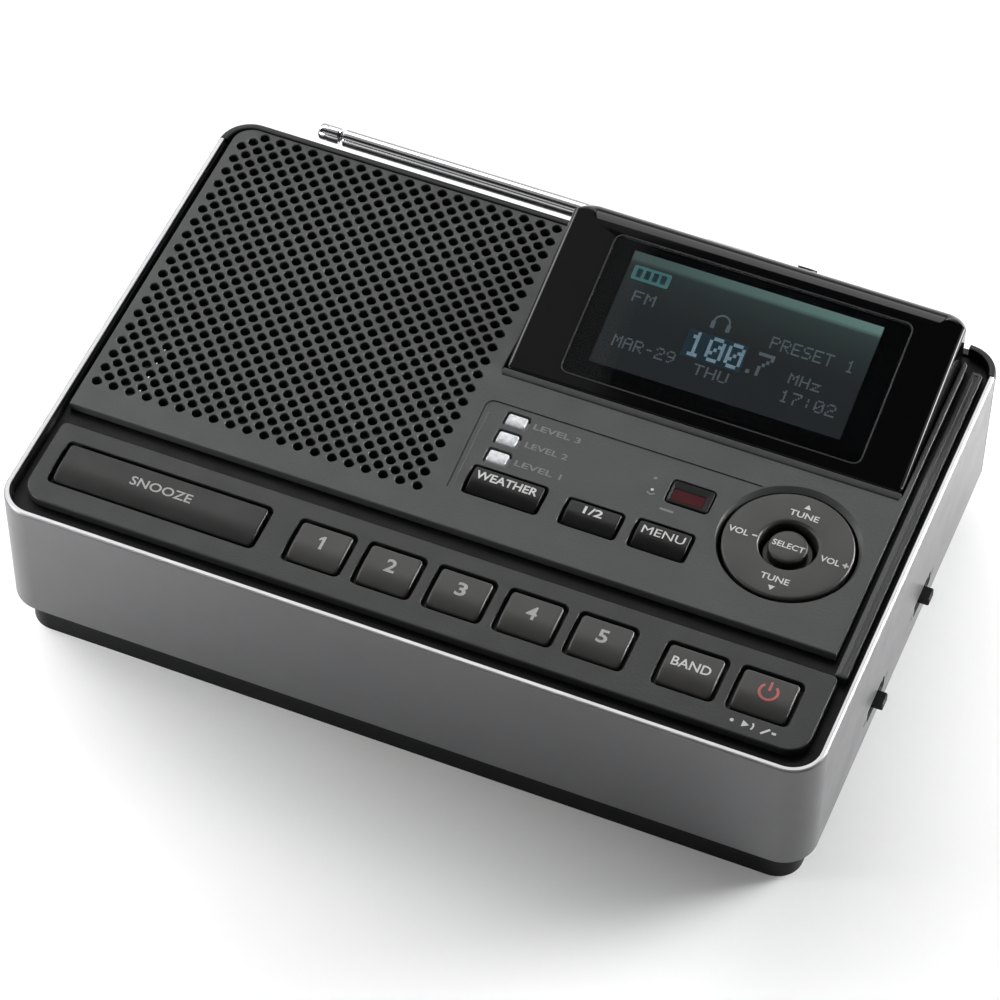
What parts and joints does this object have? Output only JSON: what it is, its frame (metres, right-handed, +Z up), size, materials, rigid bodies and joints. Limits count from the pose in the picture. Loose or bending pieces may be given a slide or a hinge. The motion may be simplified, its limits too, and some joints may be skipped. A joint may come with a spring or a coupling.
{
  "type": "tabletop radio",
  "caption": "Low tabletop weather and clock radio with speaker grille, raised display hood, front key row, navigation ring and telescopic rear antenna.",
  "frame": {"origin": "centre of the whole part's footprint, on the surface that the feet stand on", "axes": "+X to the user's right along the longest side, +Y to the back where the antenna is, +Z up"},
  "size_m": [0.2002, 0.1376, 0.0582],
  "materials": {
    "silver_band": "satin silver paint on moulded plastic",
    "black_shell": "fine-textured black moulding",
    "deck_grey": "fine-textured graphite moulding",
    "gloss_black": "polished black",
    "smoked_window": "polished smoked acrylic",
    "lcd_glass": "dark liquid-crystal panel with a blue-green glow at its back edge",
    "milk_lens": "milky translucent lens",
    "red_lens": "dark red translucent window",
    "key_grey": "satin warm-grey key caps",
    "black_trim": "semi-matt black",
    "chrome_rod": "bright chrome plating",
    "steel_parts": "zinc-plated steel",
    "magnet_iron": "dark sintered ferrite",
    "cone_paper": "pressed black paper",
    "foot_rubber": "soft black rubber",
    "circuit_board": "green solder mask",
    "cell_can": "printed metal can"
  },
  "bodies": {
    "cabinet": {"housing_band": "silver_band", "rear_panel": "black_shell", "base_tray": "black_shell", "bezel_frame": "black_shell", "top_panel": "deck_grey", "front_key_panel": "deck_grey", "display_hood": "gloss_black", "display_lens": "smoked_window", "lcd_module": "lcd_glass", "alert_lens_warning": "milk_lens", "alert_lens_watch": "milk_lens", "alert_lens_advisory": "milk_lens", "status_window": "red_lens", "dc_jack": "black_trim", "phones_jack": "black_trim", "side_switch_case_rear": "steel_parts", "side_switch_case_front": "steel_parts", "case_screw_1": "steel_parts", "case_screw_2": "steel_parts", "case_screw_3": "steel_parts", "case_screw_4": "steel_parts", "speaker_frame": "steel_parts", "speaker_magnet": "magnet_iron", "ferrite_rod": "magnet_iron", "foot_1": "foot_rubber", "foot_2": "foot_rubber", "foot_3": "foot_rubber", "foot_4": "foot_rubber", "key_mat": "foot_rubber", "main_board": "circuit_board", "key_board": "circuit_board", "battery_cell_1": "cell_can", "battery_cell_2": "cell_can", "battery_cell_3": "cell_can", "battery_cell_4": "cell_can"},
    "snooze_bar": {"snooze_bar": "key_grey"},
    "preset_key_1": {"preset_key_1": "key_grey"},
    "preset_key_2": {"preset_key_2": "key_grey"},
    "preset_key_3": {"preset_key_3": "key_grey"},
    "preset_key_4": {"preset_key_4": "key_grey"},
    "preset_key_5": {"preset_key_5": "key_grey"},
    "band_key": {"band_key": "key_grey"},
    "power_key": {"power_key": "key_grey"},
    "weather_key": {"weather_key": "key_grey"},
    "alarm_key": {"alarm_key": "key_grey"},
    "menu_key": {"menu_key": "key_grey"},
    "select_key": {"select_key": "key_grey"},
    "nav_gimbal": {"nav_gimbal": "black_trim"},
    "nav_ring": {"nav_ring": "key_grey"},
    "side_switch_rear": {"side_switch_knob_rear": "black_trim"},
    "side_switch_front": {"side_switch_knob_front": "black_trim"},
    "antenna_turret": {"antenna_turret": "chrome_rod", "antenna_hinge_pin": "steel_parts"},
    "antenna_rod": {"antenna_knuckle": "chrome_rod", "antenna_section_1": "chrome_rod"},
    "antenna_section_2": {"antenna_section_2": "chrome_rod"},
    "antenna_section_3": {"antenna_section_3": "chrome_rod"},
    "antenna_section_4": {"antenna_section_4": "chrome_rod"},
    "battery_door": {"battery_door": "black_shell"},
    "speaker_cone": {"speaker_cone": "cone_paper"}
  },
  "joints": [
    {"name": "snooze_bar_press", "type": "slide", "parent": "cabinet", "child": "snooze_bar", "axis": [0, 0, -1], "range_m": [0, 0.001], "stiffness_N_per_m": 900},
    {"name": "preset_key_1_press", "type": "slide", "parent": "cabinet", "child": "preset_key_1", "axis": [0, 0, -1], "range_m": [0, 0.001], "stiffness_N_per_m": 600},
    {"name": "preset_key_2_press", "type": "slide", "parent": "cabinet", "child": "preset_key_2", "axis": [0, 0, -1], "range_m": [0, 0.001], "stiffness_N_per_m": 600},
    {"name": "preset_key_3_press", "type": "slide", "parent": "cabinet", "child": "preset_key_3", "axis": [0, 0, -1], "range_m": [0, 0.001], "stiffness_N_per_m": 600},
    {"name": "preset_key_4_press", "type": "slide", "parent": "cabinet", "child": "preset_key_4", "axis": [0, 0, -1], "range_m": [0, 0.001], "stiffness_N_per_m": 600},
    {"name": "preset_key_5_press", "type": "slide", "parent": "cabinet", "child": "preset_key_5", "axis": [0, 0, -1], "range_m": [0, 0.001], "stiffness_N_per_m": 600},
    {"name": "band_key_press", "type": "slide", "parent": "cabinet", "child": "band_key", "axis": [0, 0, -1], "range_m": [0, 0.001], "stiffness_N_per_m": 600},
    {"name": "power_key_press", "type": "slide", "parent": "cabinet", "child": "power_key", "axis": [0, 0, -1], "range_m": [0, 0.001], "stiffness_N_per_m": 600},
    {"name": "weather_key_press", "type": "slide", "parent": "cabinet", "child": "weather_key", "axis": [0, 0, -1], "range_m": [0, 0.001], "stiffness_N_per_m": 600},
    {"name": "alarm_key_press", "type": "slide", "parent": "cabinet", "child": "alarm_key", "axis": [0, 0, -1], "range_m": [0, 0.001], "stiffness_N_per_m": 600},
    {"name": "menu_key_press", "type": "slide", "parent": "cabinet", "child": "menu_key", "axis": [0, 0, -1], "range_m": [0, 0.001], "stiffness_N_per_m": 600},
    {"name": "select_key_press", "type": "slide", "parent": "cabinet", "child": "select_key", "axis": [0, 0, -1], "range_m": [0, 0.001], "stiffness_N_per_m": 600},
    {"name": "nav_tilt_front_back", "type": "hinge", "parent": "cabinet", "child": "nav_gimbal", "pos_m": [0.07035, -0.01018, 0.043], "axis": [1, 0, 0], "range_deg": [-3, 3], "stiffness_Nm_per_rad": 0.25},
    {"name": "nav_tilt_left_right", "type": "hinge", "parent": "nav_gimbal", "child": "nav_ring", "pos_m": [0.07035, -0.01018, 0.043], "axis": [0, 1, 0], "range_deg": [-3, 3], "stiffness_Nm_per_rad": 0.25},
    {"name": "side_switch_rear_slide", "type": "slide", "parent": "cabinet", "child": "side_switch_rear", "axis": [0, 1, 0], "range_m": [-0.0032, 0.0032]},
    {"name": "side_switch_front_slide", "type": "slide", "parent": "cabinet", "child": "side_switch_front", "axis": [0, 1, 0], "range_m": [-0.0032, 0.0032]},
    {"name": "antenna_swivel", "type": "hinge", "parent": "cabinet", "child": "antenna_turret", "pos_m": [0.04685, 0.06573, 0.043], "axis": [0, 0, 1], "range_deg": [-180, 0]},
    {"name": "antenna_elbow", "type": "hinge", "parent": "antenna_turret", "child": "antenna_rod", "pos_m": [0.04685, 0.06573, 0.0474], "axis": [0, 1, 0], "range_deg": [0, 90]},
    {"name": "antenna_section_2_slide", "type": "slide", "parent": "antenna_rod", "child": "antenna_section_2", "axis": [-1, 0, 0], "range_m": [0, 0.082]},
    {"name": "antenna_section_3_slide", "type": "slide", "parent": "antenna_section_2", "child": "antenna_section_3", "axis": [-1, 0, 0], "range_m": [0, 0.08]},
    {"name": "antenna_section_4_slide", "type": "slide", "parent": "antenna_section_3", "child": "antenna_section_4", "axis": [-1, 0, 0], "range_m": [0, 0.078]},
    {"name": "battery_door_hinge", "type": "hinge", "parent": "cabinet", "child": "battery_door", "pos_m": [0.00065, -0.00517, 0.001], "axis": [0, 1, 0], "range_deg": [0, 100]},
    {"name": "speaker_cone_travel", "type": "slide", "parent": "cabinet", "child": "speaker_cone", "axis": [0, 0, 1], "range_m": [-0.0008, 0.0008], "stiffness_N_per_m": 1500}
  ]
}
